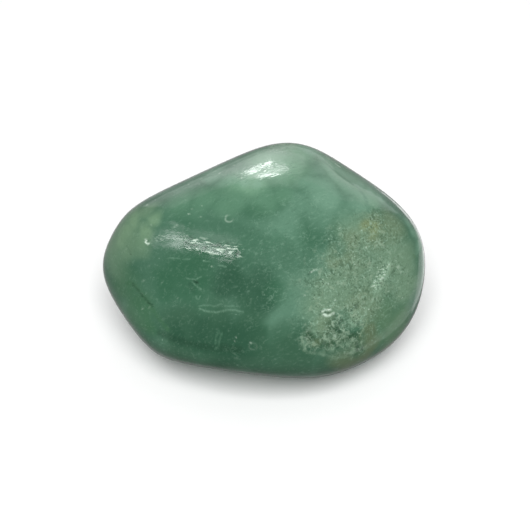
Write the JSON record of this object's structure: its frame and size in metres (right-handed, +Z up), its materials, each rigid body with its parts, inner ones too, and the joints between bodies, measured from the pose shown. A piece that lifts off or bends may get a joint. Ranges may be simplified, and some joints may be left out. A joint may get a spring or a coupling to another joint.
{
  "type": "tumbled stone",
  "caption": "Polished green pebble with soft worn flats, a tight lower front edge and a small flat underneath that it rests on.",
  "frame": {"origin": "on the resting surface, under the middle of the stone's box", "axes": "+X along the stone's long side towards its blunt end, -Y towards its broad sloping face, +Z up"},
  "size_m": [0.035, 0.0276, 0.0204],
  "materials": {
    "stone": "polished, slightly see-through green quartz with pale specks and a sandy patch"
  },
  "bodies": {
    "root": {"stone": "stone"}
  },
  "joints": []
}
